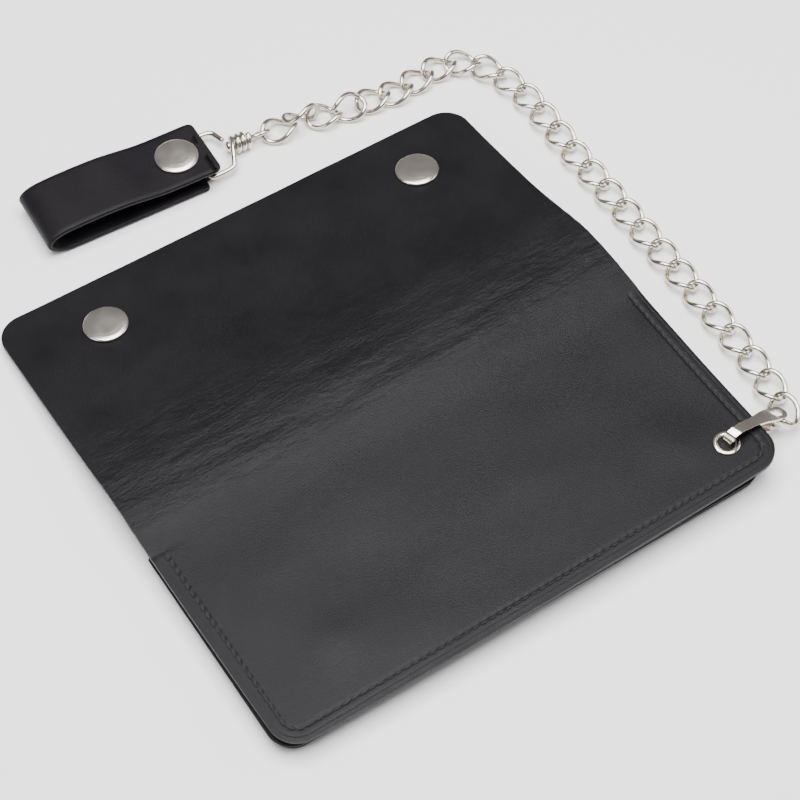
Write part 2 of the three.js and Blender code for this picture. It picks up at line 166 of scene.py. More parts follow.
def metal_material(name, colour, rough, brushed=0.0):
    """Plated metal: slightly uneven polish with fine random scratches."""
    material, nodes, links, shader = new_material(name)
    plain = scaled_coordinates(nodes, links, (1, 1, 1))
    shader.inputs["Metallic"].default_value = 1.0
    cloud = node(nodes, "ShaderNodeTexNoise", {"Scale": 120.0, "Detail": 2.0, "Roughness": 0.5})
    links.new(plain, cloud.inputs["Vector"])
    paler = tuple(min(1.0, channel * 1.06) for channel in colour)
    darker = tuple(channel * 0.86 for channel in colour)
    tint = ramp(nodes, [(0.3, darker), (0.7, paler)])
    links.new(cloud.outputs["Fac"], tint.inputs[0])
    links.new(tint.outputs["Color"], shader.inputs["Base Color"])
    spread = node(nodes, "ShaderNodeMapRange", {1: 0.25, 2: 0.75, 3: rough * 0.8, 4: rough * 1.3})
    links.new(cloud.outputs["Fac"], spread.inputs[0])
    links.new(spread.outputs[0], shader.inputs["Roughness"])
    scratches = node(nodes, "ShaderNodeTexNoise", {"Scale": 3800.0, "Detail": 2.0})
    links.new(scaled_coordinates(nodes, links, (1.0, 0.12, 0.4)), scratches.inputs["Vector"])
    bump = node(nodes, "ShaderNodeBump", {"Strength": 0.12 + brushed, "Distance": 0.00002})
    links.new(scratches.outputs["Fac"], bump.inputs["Height"])
    links.new(bump.outputs[0], shader.inputs["Normal"])
    return material


def thread_material():
    material, nodes, links, shader = new_material("thread")
    twist = node(nodes, "ShaderNodeTexWave", {"Scale": 900.0, "Distortion": 1.5, "Detail": 2.0})
    links.new(scaled_coordinates(nodes, links, (1, 1, 1)), twist.inputs["Vector"])
    tone = ramp(nodes, [(0.0, (0.002, 0.002, 0.002)), (1.0, (0.012, 0.012, 0.013))])
    links.new(twist.outputs["Fac"], tone.inputs[0])
    links.new(tone.outputs["Color"], shader.inputs["Base Color"])
    shader.inputs["Roughness"].default_value = 0.75
    bump = node(nodes, "ShaderNodeBump", {"Strength": 0.5, "Distance": 0.00005})
    links.new(twist.outputs["Fac"], bump.inputs["Height"])
    links.new(bump.outputs[0], shader.inputs["Normal"])
    return material


SHELL = leather_material("shell_leather", (0.0035, 0.0034, 0.0046), (0.0062, 0.006, 0.007),
                         0.4, 1.0, folds=True)
LINING = leather_material("lining_leather", (0.004, 0.004, 0.0045), (0.007, 0.007, 0.0075), 0.52, 1.3)
STRAP = leather_material("strap_leather", (0.0045, 0.004, 0.0058), (0.009, 0.0072, 0.0082), 0.42, 1.0)
NICKEL = metal_material("nickel", (0.66, 0.61, 0.52), 0.13)
CAP_METAL = metal_material("cap_nickel", (0.7, 0.65, 0.58), 0.2, brushed=0.05)
THREAD = thread_material()


# ---- mesh helpers ------------------------------------------------------------------------
def mesh_object(name, points, faces, material, smooth=True):
    mesh = bpy.data.meshes.new(name)
    mesh.from_pydata([tuple(c * MM for c in p) for p in points], [], faces)
    mesh.validate()
    mesh.materials.append(material)
    if smooth:
        mesh.polygons.foreach_set("use_smooth", [True] * len(mesh.polygons))
    made = bpy.data.objects.new(name, mesh)
    bpy.context.scene.collection.objects.link(made)
    return made


def apply_modifiers(obj):
    bpy.context.view_layer.update()
    evaluated = obj.evaluated_get(bpy.context.evaluated_depsgraph_get())
    mesh = bpy.data.meshes.new_from_object(evaluated)
    obj.modifiers.clear()
    obj.data = mesh


def smooth_blend(low, high, value):
    share = min(1.0, max(0.0, (value - low) / (high - low)))
    return share * share * (3 - 2 * share)


def curve_through(stops, value):
    """Smooth interpolation through (value, height) stops."""
    if value <= stops[0][0]:
        return stops[0][1]
    for i in range(len(stops) - 1):
        if value <= stops[i + 1][0]:
            (a, p1), (b, p2) = stops[i], stops[i + 1]
            p0 = stops[max(i - 1, 0)]
            p3 = stops[min(i + 2, len(stops) - 1)]
            m1 = (p2 - p0[1]) / (b - p0[0])
            m2 = (p3[1] - p1) / (p3[0] - a)
            t = (value - a) / (b - a)
            h = b - a
            return (
                (2 * t**3 - 3 * t**2 + 1) * p1 + (t**3 - 2 * t**2 + t) * h * m1
                + (3 * t**2 - 2 * t**3) * p2 + (t**3 - t**2) * h * m2
            )
    return stops[-1][1]


def graded(low, high, fine_low, fine_high, fine, coarse):
    """Positions from low to high, close together within fine_low of the start and fine_high of the end."""
    values = [low]
    while values[-1] < high - 1e-6:
        at = values[-1]
        near = at < low + fine_low or at > high - fine_high
        values.append(min(high, at + (fine if near else coarse)))
    if values[-1] - values[-2] < 0.3 * fine:
        values.pop(-2)
    return values


def round_corner(x, y, low, high, radii):
    """Moves a point of a rectangle's grid so that its four corners are round."""
    corners = [(low[0], low[1], radii[0]), (high[0], low[1], radii[1]),
               (high[0], high[1], radii[2]), (low[0], high[1], radii[3])]
    for corner_x, corner_y, radius in corners:
        if radius <= 0:
            continue
        side_x = 1 if corner_x == high[0] else -1
        side_y = 1 if corner_y == high[1] else -1
        a = (x - (corner_x - side_x * radius)) * side_x / radius
        b = (y - (corner_y - side_y * radius)) * side_y / radius
        if a > 0 and b > 0:
            x = corner_x - side_x * radius + side_x * radius * a * math.sqrt(1 - b * b / 2)
            y = corner_y - side_y * radius + side_y * radius * b * math.sqrt(1 - a * a / 2)
    return x, y


def sheet_mesh(name, xs, ys, radii, top, thickness, material, edge=0.35, shift=None, holes=()):
    """A sheet of leather over a grid, with round corners, a rounded rim and holes cut through it."""
    low = (xs[0], ys[0])
    high = (xs[-1], ys[-1])
    points = []
    for y in ys:
        for x in xs:
            px, py = round_corner(x, y, low, high, radii)
            if shift:
                px, py = shift(px, py)
            points.append((px, py, top(px, py)))
    width = len(xs)
    faces = []
    for row in range(len(ys) - 1):
        for column in range(width - 1):
            first = row * width + column
            faces.append((first, first + 1, first + width + 1, first + width))
    sheet = mesh_object(name, points, faces, material)
    if holes:
        carve = bmesh.new()
        carve.from_mesh(sheet.data)
        doomed = []
        for face in carve.faces:
            centre = face.calc_center_median() / MM
            if any((centre.x - hx) ** 2 + (centre.y - hy) ** 2 < hr * hr for hx, hy, hr in holes):
                doomed.append(face)
        bmesh.ops.delete(carve, geom=doomed, context="FACES")
        carve.to_mesh(sheet.data)
        carve.free()
    solid = sheet.modifiers.new("thickness", "SOLIDIFY")
    solid.thickness = thickness * MM
    solid.offset = -1
    solid.use_even_offset = False
    rim = sheet.modifiers.new("rim", "BEVEL")
    rim.width = edge * MM
    rim.segments = 3
    rim.limit_method = "ANGLE"
    rim.angle_limit = math.radians(55)
    apply_modifiers(sheet)
    sheet.data.polygons.foreach_set("use_smooth", [True] * len(sheet.data.polygons))
    return sheet


def lathe_mesh(name, profile, material, place, segments=72):
    """A solid of revolution about Z from [radius, z] pairs, moved by the matrix place."""
    points = []
    faces = []
    count = len(profile)
    for i in range(segments):
        angle = 2 * math.pi * i / segments
        for radius, z in profile:
            points.append(place @ Vector((radius * math.cos(angle), radius * math.sin(angle), z)))
    for i in range(segments):
        after = (i + 1) % segments
        for k in range(count - 1):
            faces.append((i * count + k, after * count + k, after * count + k + 1, i * count + k + 1))
    made = mesh_object(name, points, faces, material)
    weld = bmesh.new()
    weld.from_mesh(made.data)
    bmesh.ops.remove_doubles(weld, verts=weld.verts, dist=1e-6)
    bmesh.ops.recalc_face_normals(weld, faces=weld.faces)
    weld.to_mesh(made.data)
    weld.free()
    made.data.polygons.foreach_set("use_smooth", [True] * len(made.data.polygons))
    return made


def soft_profile(corners, radius=0.25, steps=3):
    """The same profile with its inner corners rounded."""
    rounded = [corners[0]]
    for before, at, after in zip(corners, corners[1:], corners[2:]):
        a, b, c = Vector(before), Vector(at), Vector(after)
        reach = min(radius, (a - b).length * 0.45, (c - b).length * 0.45)
        start = b + (a - b).normalized() * reach
        end = b + (c - b).normalized() * reach
        for i in range(steps + 1):
            t = i / steps
            rounded.append(tuple(start * (1 - t) ** 2 + b * 2 * t * (1 - t) + end * t * t))
    rounded.append(corners[-1])
    return rounded


def tube_mesh(name, path, radius, material, place=Matrix(), sides=14, closed=False):
    """A round wire along a path of points, kept from twisting."""
    line = [Vector(p) for p in path]
    count = len(line)
    points = []
    faces = []
    frames = []
    up = Vector((0.1, 0.2, 1)).normalized()
    for i in range(count):
        before = line[i - 1] if closed or i else line[i]
        after = line[(i + 1) % count] if closed or i < count - 1 else line[i]
        along = (after - before).normalized()
        up = (up - along * up.dot(along)).normalized()
        frames.append((along, up.copy(), along.cross(up)))
    for i, (along, first, second) in enumerate(frames):
        for k in range(sides):
            angle = 2 * math.pi * k / sides
            offset = first * radius * math.cos(angle) + second * radius * math.sin(angle)
            points.append(place @ (line[i] + offset))
    rings = count if closed else count - 1
    for i in range(rings):
        a = i * sides
        b = ((i + 1) % count) * sides
        for k in range(sides):
            after = (k + 1) % sides
            faces.append((a + k, a + after, b + after, b + k))
    if not closed:
        faces.append(tuple(reversed(range(sides))))
        faces.append(tuple((count - 1) * sides + k for k in range(sides)))
    return mesh_object(name, points, faces, material)


def catmull(points, per_span=6):
    line = [Vector(p) for p in points]
    line = [line[0] * 2 - line[1]] + line + [line[-1] * 2 - line[-2]]
    out = []
    for i in range(1, len(line) - 2):
        p0, p1, p2, p3 = line[i - 1:i + 3]
        for k in range(per_span):
            t = k / per_span
            out.append(0.5 * (p1 * 2 + (p2 - p0) * t + (p0 * 2 - p1 * 5 + p2 * 4 - p3) * t * t
                              + (p1 * 3 - p0 - p2 * 3 + p3) * t ** 3))
    out.append(line[-2])
    return out


# ---- the shell of the wallet -------------------------------------------------------------
HALF = 89.0
FRONT = -40.0
FAR = 141.0
CORNER = 9.0
LEFT_RISE = [(-40, 5.9), (20, 5.95), (36, 6.2), (46, 6.9), (54, 7.5), (61, 7.4), (70, 6.4), (84, 4.9),
             (100, 3.7),
             (121.5, 2.0), (141, 0.6)]
RIGHT_RISE = [(-40, 9.5), (10, 9.6), (30, 10.0), (42, 11.2), (50, 11.9), (62, 11.8), (72, 9.9), (84, 6.9),
              (98, 4.3),
              (121.5, 2.0), (141, 0.6)]
SHELL_THICKNESS = 1.5
STITCH_INSET = 4.0
STITCH_PITCH = 2.93
STITCH_END = 34.5             # where the sewn rim stops, near the pocket's mouth
SNAPS = [-58.0, 61.5]
FLAP_SNAP_Y = 121.46


def front_distance(x, y):
    """Distance in from the shell's left, front or right edge, whichever is nearest."""
    inner_x = HALF - CORNER
    inner_y = FRONT + CORNER
    if abs(x) > inner_x and y < inner_y:
        return CORNER - math.hypot(abs(x) - inner_x, y - inner_y)
    return min(HALF - abs(x), y - FRONT)


def along_rim(x, y):
    """Distance along the stitch line from the left end of the sewn rim."""
    inner_x = HALF - CORNER
    inner_y = FRONT + CORNER
    radius = CORNER - STITCH_INSET
    side = STITCH_END - inner_y
    arc = radius * math.pi / 2
    if y >= inner_y:
        return side - (y - inner_y) if x < 0 else side + arc * 2 + inner_x * 2 + (y - inner_y)
    if x < -inner_x:
        return side + radius * math.atan2(inner_y - y, -inner_x - x)
    if x > inner_x:
        return side + arc + inner_x * 2 + radius * (math.pi / 2 - math.atan2(inner_y - y, x - inner_x))
    return side + arc + (x + inner_x)


def rim_point(distance):
    """The point on the stitch line that far along it, and the line's direction there."""
    inner_x = HALF - CORNER
    inner_y = FRONT + CORNER
    radius = CORNER - STITCH_INSET
    side = STITCH_END - inner_y
    arc = radius * math.pi / 2
    edge = HALF - STITCH_INSET
    if distance < side:
        return Vector((-edge, STITCH_END - distance, 0)), Vector((0, -1, 0))
    distance -= side
    if distance < arc:
        angle = math.pi + distance / radius
        return (Vector((-inner_x + radius * math.cos(angle), inner_y + radius * math.sin(angle), 0)),
                Vector((-math.sin(angle), math.cos(angle), 0)))
    distance -= arc
    if distance < inner_x * 2:
        return Vector((-inner_x + distance, FRONT + STITCH_INSET, 0)), Vector((1, 0, 0))
    distance -= inner_x * 2
    if distance < arc:
        angle = math.pi * 1.5 + distance / radius
        return (Vector((inner_x + radius * math.cos(angle), inner_y + radius * math.sin(angle), 0)),
                Vector((-math.sin(angle), math.cos(angle), 0)))
    return Vector((edge, inner_y + distance - arc, 0)), Vector((0, 1, 0))


def rim_length():
    inner_x = HALF - CORNER
    return 2 * (STITCH_END - FRONT - CORNER) + (CORNER - STITCH_INSET) * math.pi + inner_x * 2


def fold_share(x, y):
    """How creased the leather is: 1 in the middle of the fold band, 0 away from it."""
    band = smooth_blend(40, 52, y) * (1 - smooth_blend(66, 92, y))
    patchy = 0.75 + 0.5 * noise.noise(Vector((x * 0.03, y * 0.06, 3.1)))
    return max(0.0, min(1.0, band * patchy))


def base_height(x, y):
    across = (x + HALF) / (2 * HALF)
    left = curve_through(LEFT_RISE, y)
    right = curve_through(RIGHT_RISE, y)
    return left + (right - left) * across


def shell_top(x, y):
    height = base_height(x, y)
    calm = smooth_blend(0, 14, front_distance(x, y)) if y < STITCH_END else 1.0
    near_snap = min(math.hypot(x - sx, y - FLAP_SNAP_Y) for sx in SNAPS)
    calm *= 0.25 + 0.75 * smooth_blend(7, 20, near_snap)
    calm *= 0.2 + 0.8 * smooth_blend(5, 18, math.hypot(x - 76.2, y + 26.8))
    slow = noise.noise(Vector((x * 0.022, y * 0.03, 0.3)))
    medium = noise.noise(Vector((x * 0.05, y * 0.08, 7.7)))
    height += calm * (0.35 * slow + 0.16 * medium)
    for lump_x in SNAPS:
        lump = math.hypot(x - lump_x, y + 15.7) / 8.5
        hollow = math.hypot(x - lump_x - 17, y + 3) / 15
        height += 0.42 * math.exp(-lump * lump) - 0.5 * math.exp(-hollow * hollow)
    crease = fold_share(x, y)
    if crease > 0:
        swell = noise.noise(Vector((x * 0.035, y * 0.16, 1.9)))
        fine = noise.fractal(Vector((x * 0.10, y * 0.42, 5.2)), 0.8, 2.1, 3)
        height += crease * (0.5 * swell + 0.24 * fine)
    if y < STITCH_END + 2:
        inset = front_distance(x, y)
        if inset < 7:
            fade = 1 - smooth_blend(STITCH_END - 2, STITCH_END + 2, y)
            off = inset - STITCH_INSET
            phase = (along_rim(x, y) / STITCH_PITCH) % 1.0
            pit = 0.5 + 0.5 * math.cos(2 * math.pi * (phase - 0.5))
            height -= fade * math.exp(-(off / 0.5) ** 2) * (0.08 + 0.3 * pit)
            height -= fade * 0.1 * math.exp(-((inset - 1.5) / 0.3) ** 2)
            height -= 0.12 * (1 - smooth_blend(0, 1.2, inset))
    return height


def bulged(x, y):
    """The long edges bow out a little in the middle."""
    if y < 40:
        weight = (40 - y) / 80
        y -= 0.9 * weight * (1 - (x / HALF) ** 2)
    middle = 1 - ((y - 50) / 95) ** 2
    if x < 0:
        x -= 0.7 * max(0.0, middle) * (-x / HALF)
    return x, y


def build_shell():
    xs = graded(-HALF, HALF, 6.4, 6.4, 0.36, 0.73)
    ys = graded(FRONT, 40.0, 6.4, 0, 0.36, 0.73)
    ys += [y for y in graded(40.0, FAR, 0, 0, 0.8, 0.85)[1:]]
    shell = sheet_mesh("leather_shell", xs, ys, [CORNER] * 4, shell_top, SHELL_THICKNESS, SHELL,
                       edge=0.4, shift=bulged)
    mask = shell.data.attributes.new("fold", "FLOAT", "POINT")
    values = [fold_share(v.co.x / MM, v.co.y / MM) for v in shell.data.vertices]
    mask.data.foreach_set("value", values)
    return shell


def cut_between(source, name, low, high):
    """A copy of source that keeps only what lies between two values of Y."""
    part = bmesh.new()
    part.from_mesh(source.data)
    for limit, above in ((low, False), (high, True)):
        if limit is None:
            continue
        bmesh.ops.bisect_plane(
            part, geom=part.verts[:] + part.edges[:] + part.faces[:], plane_co=(0, limit * MM, 0),
            plane_no=(0, 1, 0), clear_outer=above, clear_inner=not above,
        )
    mesh = bpy.data.meshes.new(name)
    part.to_mesh(mesh)
    part.free()
    mesh.materials.append(SHELL)
    made = bpy.data.objects.new(name, mesh)
    bpy.context.scene.collection.objects.link(made)
    return made


SPINE_SPLITS = (48.5, 57.5)   # the middles of the spine's two strips
whole = build_shell()
back = cut_between(whole, "leather_back", None, SPINE_SPLITS[0])
spine = cut_between(whole, "leather_spine", *SPINE_SPLITS)
flap = cut_between(whole, "leather_flap", SPINE_SPLITS[1], None)
bpy.data.objects.remove(whole)
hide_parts("back_panel")
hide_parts("spine_upper", "spine_lower")
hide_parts("flap")


def across_fold(piece):
    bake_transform(piece)


across_fold(back)
across_fold(spine)
across_fold(flap)


# ---- stitches ----------------------------------------------------------------------------
def stitch_mesh(name, places, length, radius, material):
    """One short rounded thread at each (point, direction, sink)."""
    points = []
    faces = []
    sides = 8
    stations = [(-0.5, 0.25, -0.5), (-0.42, 0.75, -0.15), (-0.2, 1.0, 0.0), (0.2, 1.0, 0.0),
                (0.42, 0.75, -0.15),
                (0.5, 0.25, -0.5)]
    for point, direction in places:
        side = Vector((0, 0, 1)).cross(direction).normalized()
        start = len(points)
        for along, share, sink in stations:
            centre = point + direction * along * length + Vector((0, 0, sink * radius))
            for k in range(sides):
                angle = 2 * math.pi * k / sides
                offset = side * math.cos(angle) + Vector((0, 0, 1)) * math.sin(angle)
                points.append(centre + offset * radius * share)
        for ring in range(len(stations) - 1):
            a = start + ring * sides
            for k in range(sides):
                after = (k + 1) % sides
                faces.append((a + k, a + after, a + sides + after, a + sides + k))
        faces.append(tuple(start + k for k in reversed(range(sides))))
        last = start + (len(stations) - 1) * sides
        faces.append(tuple(last + k for k in range(sides)))
    return mesh_object(name, points, faces, material)


def rim_stitches():
    places = []
    count = int(rim_length() / STITCH_PITCH)
    for i in range(count):
        point, direction = rim_point((i + 0.5) * STITCH_PITCH)
        x, y = bulged(point.x, point.y)
        places.append((Vector((x, y, shell_top(x, y) + 0.12)), direction))
    return places


stitches = stitch_mesh("rim_stitches", rim_stitches(), 2.3, 0.33, THREAD)
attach(stitches, "wallet")


# ---- the sheets inside -------------------------------------------------------------------
TILT = math.radians(1.16)
LIFT = 3.15


def lifted_height(x, above):
    return LIFT + (x + HALF) * math.sin(TILT) + above


def inner_sheet(name, corners, radii, top, thickness, holes=(), edge=0.2):
    (low_x, low_y), (high_x, high_y) = corners
    xs = graded(low_x, high_x, 9, 9, 1.0, 2.4)
    ys = graded(low_y, high_y, 9, 2, 1.0, 2.4)
    sheet = sheet_mesh(name, xs, ys, radii, top, thickness, LINING, edge=edge)
    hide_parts(name.replace("sheet_", ""))
    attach(sheet, "wallet")
    return sheet


def divider_top(x, y):
    wave = 0.12 * noise.noise(Vector((x * 0.05, y * 0.05, 9.0)))
    return lifted_height(x, 1.0) - 0.05 + wave * smooth_blend(0, 8, y - FRONT)


inner_sheet("sheet_bill_divider", ((-88.6, -39.6), (88.4, 37.0)), [8.5, 8.5, 1, 1], divider_top, 0.95)

LAYERS = [
    ("card_slot_front", 8.0, 0.6, 0.55),
    ("card_slot_middle", 20.0, 1.3, 0.55),
    ("card_slot_rear", 32.0, 2.0, 0.55),
]
for layer, mouth, top_z, thick in LAYERS:
    def layer_top(x, y, top_z=top_z, mouth=mouth):
        sag = 0.05 * noise.noise(Vector((x * 0.04, y * 0.04, top_z * 3)))
        return top_z + sag
    inner_sheet(f"sheet_{layer}", ((-88.9, -38.5), (82.9, mouth)), [7, 7, 1, 1], layer_top, thick)
inner_sheet("sheet_card_pocket_back", ((-89.9, -39.0), (83.9, 38.0)), [8, 8, 1, 1], lambda x, y: 2.88, 0.75)


# ---- snaps, grommet and clip -------------------------------------------------------------
CAP = [(7.05, 1.66), (7.35, 1.72), (7.5, 1.95), (7.48, 2.2), (7.3, 2.5), (6.9, 2.72), (6.0, 2.9), (4.5, 3.06),
       (2.5, 3.16), (0, 3.2)]
CAP_UNDER = [(0, -0.4), (1.7, -0.4), (1.7, 1.64), (6.6, 1.64)]
SOCKET = [(2.95, -2.8), (4.4, -2.8), (4.6, -2.4), (4.6, -1.3), (5.6, -0.5), (5.6, -0.05), (1.9, -0.05),
          (1.9, -0.5),
          (2.95, -0.8), (2.95, -2.8)]


def stud(seat):
    return [(1.05, -2.8), (1.9, -2.8), (2.45, -2.35), (2.45, -1.8), (2.05, -1.2), (2.05, -0.5), (4.2, -0.5),
            (4.2, seat), (1.05, seat), (1.05, -2.8)]


def post(leather):
    head = leather + 0.05
    return [(0, -0.6), (0.8, -0.6), (0.8, head), (4.4, head), (4.4, head + 0.3), (0, head + 0.3)]


def flipped(profile):
    return [(radius, -z) for radius, z in reversed(profile)]


def metal_piece(name, profile, material, place, body, replaced, soften=0.22):
    piece = lathe_mesh(name, soft_profile(profile, soften), material, place)
    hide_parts(replaced)
    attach(piece, body)
    return piece


FLAP_SLOPE = math.radians(5)
FLAP_HINGE = (53 + 9 * math.cos(math.radians(3.2)), 6.1 - 9 * math.sin(math.radians(3.2)))
SNAP_REACH = 59.7
on_flap_y = FLAP_HINGE[0] + SNAP_REACH * math.cos(FLAP_SLOPE)
on_flap_z = FLAP_HINGE[1] - SNAP_REACH * math.sin(FLAP_SLOPE)
for side, x in zip(("left", "right"), SNAPS):
    leaning = Matrix.Translation((x, on_flap_y, on_flap_z)) @ Matrix.Rotation(-FLAP_SLOPE, 4, "X")
    upright = Matrix.Translation((x, -15.7, 0))
    metal_piece(f"cap_{side}", CAP_UNDER + CAP, CAP_METAL, leaning, "flap", f"snap_cap_{side}", 0.12)
    metal_piece(f"socket_{side}", SOCKET, NICKEL, leaning, "flap", f"snap_socket_{side}")
    metal_piece(f"stud_{side}", stud(0.65), NICKEL, upright, "wallet", f"snap_stud_{side}")
    metal_piece(f"post_{side}", post(2.9), NICKEL, upright, "wallet", f"snap_post_{side}")

GROMMET_AT = (76.2, -26.8)
grommet_place = (
    Matrix.Translation((-HALF, 0, LIFT)) @ Matrix.Rotation(-TILT, 4, "Y")
    @ Matrix.Translation(((GROMMET_AT[0] + HALF) / math.cos(TILT), GROMMET_AT[1], 0))
)
GROMMET = [(2.55, -0.05), (3.1, -0.05), (3.1, 2.72), (4.15, 2.78), (4.35, 2.95), (4.15, 3.3), (3.55, 3.5),
           (2.95, 3.42), (2.6, 3.05), (2.55, 2.5), (2.55, -0.05)]
WASHER = [(2.55, -0.4), (4.3, -0.4), (4.3, -0.1), (2.55, -0.1), (2.55, -0.4)]
metal_piece("grommet_ring", GROMMET, NICKEL, grommet_place, "wallet", "grommet", 0.3)
metal_piece("washer", WASHER, NICKEL, grommet_place, "wallet", "grommet_washer", 0.08)


def polish_cad(name, width):
    """Keeps a CAD node, with its sharp edges rounded and its faces smooth."""
    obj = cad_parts[name]
    obj.data.materials.clear()
    obj.data.materials.append(NICKEL)
    obj.data.polygons.foreach_set("use_smooth", [True] * len(obj.data.polygons))
    weld = obj.modifiers.new("weld", "WELD")
    weld.merge_threshold = 1e-6
    rim = obj.modifiers.new("rim", "BEVEL")
    rim.width = width * MM
    rim.segments = 3
    rim.limit_method = "ANGLE"
    rim.angle_limit = math.radians(40)
    rim.harden_normals = False
    normals = obj.modifiers.new("normals", "WEIGHTED_NORMAL")
    normals.keep_sharp = True


polish_cad("clip", 0.2)


# ---- chain -------------------------------------------------------------------------------
LINK_HALF_LENGTH = 6.15
LINK_HALF_WIDTH = 4.6
LINK_WIRE = 0.84
LINK_TWIST = math.radians(45)
BEYOND_CHAIN = Vector((26.5, 166.2, 0.12))
LINK_ROLLS = {1: -8, 2: -4, 24: -59, 26: 55}
LINK_LIFTS = {24: 2.41, 26: 2.3}
LINKS = 27


def link_path(steps=64):
    path = []
    for i in range(steps):
        s = 2 * math.pi * i / steps
        across = LINK_HALF_WIDTH * math.sin(s)
        turn = -LINK_TWIST * math.cos(s)
        path.append((LINK_HALF_LENGTH * math.cos(s), across * math.cos(turn), across * math.sin(turn)))
    return path


def link_centre(number):
    """A link is the same either side of its middle, so its box's centre is its middle."""
    low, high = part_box(f"link_{number:02d}")
    centre = (Vector(low) + Vector(high)) / 2 / MM
    centre.z -= LINK_LIFTS.get(number, 0)
    return centre


centres = {number: link_centre(number) for number in range(1, LINKS + 1)}
centres[LINKS + 1] = BEYOND_CHAIN
for number in range(1, LINKS + 1):
    behind = centres[max(number - 1, 1)]
    heading = (centres[number + 1] - behind).normalized()
    side = Vector((0, 0, 1)).cross(heading).normalized()
    up = heading.cross(side)
    turn = Matrix((heading, side, up)).transposed().to_4x4()
    roll = Matrix.Rotation(math.radians(LINK_ROLLS.get(number, 0)), 4, "X")
    lift = Vector((0, 0, LINK_LIFTS.get(number, 0)))
    place = Matrix.Translation(centres[number] + lift) @ turn @ roll
    ring = tube_mesh(f"chain_{number:02d}", link_path(), LINK_WIRE, NICKEL, place, closed=True)
    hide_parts(f"link_{number:02d}")
    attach(ring, f"link_{number:02d}")

# ---- swivel, bail and strap --------------------------------------------------------------
STRAP_END = Matrix.Translation((2.6, 167.4, 0)) @ Matrix.Rotation(math.radians(-3.2), 4, "Z")
COIL = {"start": 13.2, "radius": 2.55, "pitch": 1.95, "turns": 3, "height": 0.7}
BAR_Z = 0.5
BAIL = [
    (11.2, 3.6, 0.7), (10.4, 6.2, 0.6), (9.6, 8.2, 0.6), (8.0, 9.1, 0.6), (4.6, 9.4, BAR_Z),
    (1.3, 9.4, BAR_Z), (0.1, 8.4, BAR_Z), (0, 6, BAR_Z), (0, -6, BAR_Z), (0.1, -8.4, BAR_Z),
    (1.3, -9.4, BAR_Z), (4.6, -9.4, BAR_Z),
    (8.0, -9.1, 0.6), (9.6, -8.2, 0.9), (10.9, -5.6, 1.8), (12.1, -2.7, 2.8),
]


def bail_path():
    points = list(BAIL)
    per_turn = 24
    for i in range(COIL["turns"] * per_turn + 1):
        angle = math.pi / 2 - 2 * math.pi * i / per_turn
        points.append((COIL["start"] + COIL["pitch"] * i / per_turn, COIL["radius"] * math.cos(angle),
                       COIL["height"] + COIL["radius"] * math.sin(angle)))
    return catmull(points[:17], 8)[:-1] + [Vector(p) for p in points[16:]]


bail = tube_mesh("bail_wire", bail_path(), 0.9, NICKEL, STRAP_END)
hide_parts("wire_bail")
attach(bail, "wire_bail")

EYE = [(11.6, 0), (13, 0), (19.2, 0), (20.8, 0.4), (22.4, 1.8), (24.4, 2.6), (26.2, 1.8), (26.9, 0),
       (26.2, -1.8),
       (24.4, -2.6), (22.6, -2.0), (21.2, -1.5)]
LEAN = math.radians(-45)
eye_points = [(x, y * math.cos(LEAN), COIL["height"] + y * math.sin(LEAN)) for x, y in EYE]
eye = tube_mesh("eye_wire", catmull(eye_points, 8), 0.75, NICKEL, STRAP_END)
head_place = STRAP_END @ Matrix.Translation((11.4, 0, COIL["height"])) @ Matrix.Rotation(-math.pi / 2, 4, "Y")
EYE_HEAD = [(0, -0.7), (1.9, -0.7), (1.9, 0.1), (1.2, 0.7), (0, 0.7)]
eye_head = lathe_mesh("eye_head", soft_profile(EYE_HEAD, 0.3), NICKEL, head_place, 32)
for piece in (eye, eye_head):
    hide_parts("swivel_eye")
    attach(piece, "swivel_eye")

STRAP_THICKNESS = 1.7
STRAP_WIDTH = 24.0
TONGUE_WIDTH = 16.0
HALF_STRAP = STRAP_THICKNESS / 2
LOWER_Z = FLOOR + 0.4 + HALF_STRAP
RETURN_Z = LOWER_Z + STRAP_THICKNESS + 0.1
STRAP_SNAP_X = -7.7
STUD_Z = RETURN_Z + HALF_STRAP
SOCKET_Z = STUD_Z + 0.7 + 2.8
UPPER_Z = SOCKET_Z + HALF_STRAP
STRAP_END_X = 3.6


